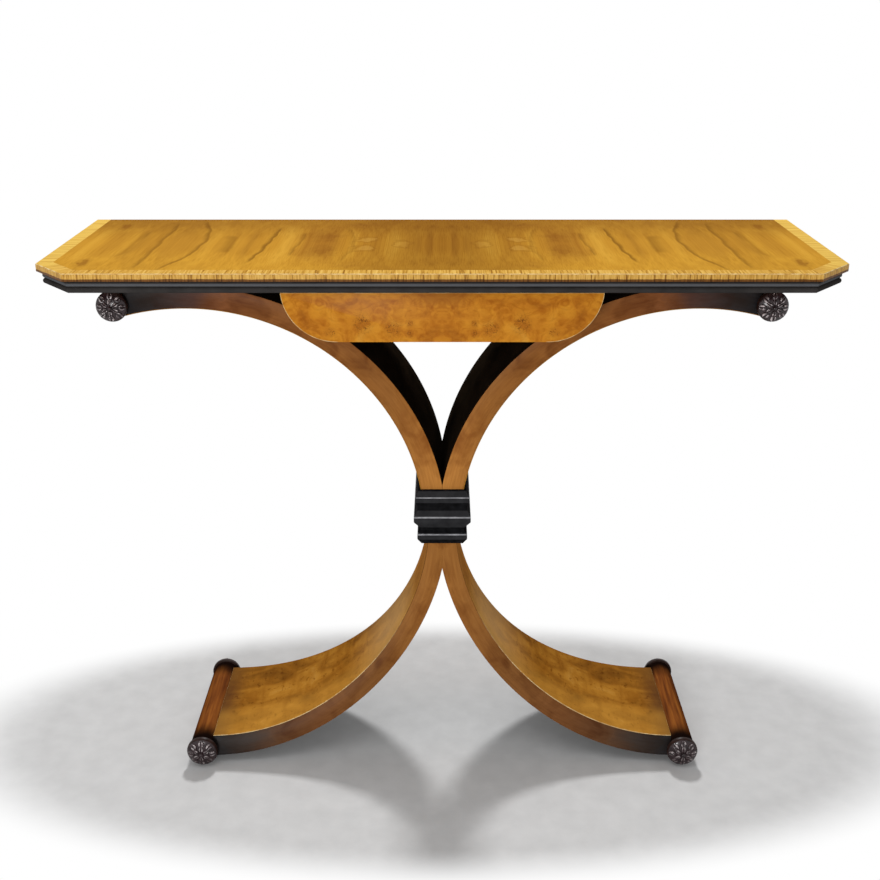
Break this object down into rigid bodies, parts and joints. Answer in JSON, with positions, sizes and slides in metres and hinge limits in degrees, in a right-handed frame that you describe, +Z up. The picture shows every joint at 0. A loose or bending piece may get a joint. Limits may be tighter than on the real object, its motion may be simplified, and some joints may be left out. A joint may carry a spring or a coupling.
{
  "type": "console table",
  "caption": "Console table with a canted rectangular veneered top and a shallow frieze drawer, on back-to-back C-curved supports held by a tiered collar.",
  "frame": {"origin": "middle of the table's plan at floor level", "axes": "+X along the top to the viewer's right, +Y from the front to the back, +Z up"},
  "size_m": [1.1, 0.38, 0.812],
  "materials": {
    "figured_veneer": "polished figured veneer",
    "crossband_veneer": "polished pale crossbanding",
    "edge_band_veneer": "polished cross-grain edging",
    "burl_veneer": "polished burl veneer",
    "arm_veneer": "polished figured veneer",
    "arm_wood": "dark stained and ebonised",
    "ebonised_wood": "ebonised, french polished",
    "polished_roll_wood": "dark red-brown polish",
    "carved_dark_wood": "dark polished carving",
    "secondary_wood": "plain planed timber",
    "beech": "plain",
    "screw_steel": "plain steel",
    "glide_felt": "dense felt"
  },
  "bodies": {
    "table_frame": {"beech_dowels": "beech", "collar_back": "ebonised_wood", "collar_front": "ebonised_wood", "collar_side_left": "ebonised_wood", "collar_side_right": "ebonised_wood", "crossband_cant_left": "crossband_veneer", "crossband_cant_right": "crossband_veneer", "crossband_end_left": "crossband_veneer", "crossband_end_right": "crossband_veneer", "crossband_front": "crossband_veneer", "drawer_runner_left": "secondary_wood", "drawer_runner_right": "secondary_wood", "drawer_stop": "secondary_wood", "edge_band_cant_left": "edge_band_veneer", "edge_band_cant_right": "edge_band_veneer", "edge_band_end_left": "edge_band_veneer", "edge_band_end_right": "edge_band_veneer", "edge_band_front": "edge_band_veneer", "foot_glides": "glide_felt", "lower_arm_left": "arm_wood", "lower_arm_right": "arm_wood", "lower_arm_veneer_left": "arm_veneer", "lower_arm_veneer_right": "arm_veneer", "lower_roll_left": "polished_roll_wood", "lower_roll_right": "polished_roll_wood", "lower_rosette_back_left": "carved_dark_wood", "lower_rosette_back_right": "carved_dark_wood", "lower_rosette_front_left": "carved_dark_wood", "lower_rosette_front_right": "carved_dark_wood", "moulding_cant_left": "ebonised_wood", "moulding_cant_right": "ebonised_wood", "moulding_end_left": "ebonised_wood", "moulding_end_right": "ebonised_wood", "moulding_front": "ebonised_wood", "top_bearer_left": "secondary_wood", "top_bearer_right": "secondary_wood", "top_core": "secondary_wood", "top_veneer_back_left": "figured_veneer", "top_veneer_back_right": "figured_veneer", "top_veneer_front_left": "figured_veneer", "top_veneer_front_right": "figured_veneer", "underside_screws": "screw_steel", "upper_arm_left": "arm_wood", "upper_arm_right": "arm_wood", "upper_arm_veneer_left": "arm_veneer", "upper_arm_veneer_right": "arm_veneer", "upper_roll_left": "ebonised_wood", "upper_roll_right": "ebonised_wood", "upper_rosette_back_left": "carved_dark_wood", "upper_rosette_back_right": "carved_dark_wood", "upper_rosette_front_left": "carved_dark_wood", "upper_rosette_front_right": "carved_dark_wood"},
    "drawer": {"drawer_back": "secondary_wood", "drawer_bottom": "secondary_wood", "drawer_front": "secondary_wood", "drawer_front_veneer_left": "burl_veneer", "drawer_front_veneer_right": "burl_veneer", "drawer_side_left": "secondary_wood", "drawer_side_right": "secondary_wood"}
  },
  "joints": [
    {"name": "drawer_slide", "type": "slide", "parent": "table_frame", "child": "drawer", "axis": [0, -1, 0], "range_m": [0, 0.18]}
  ]
}
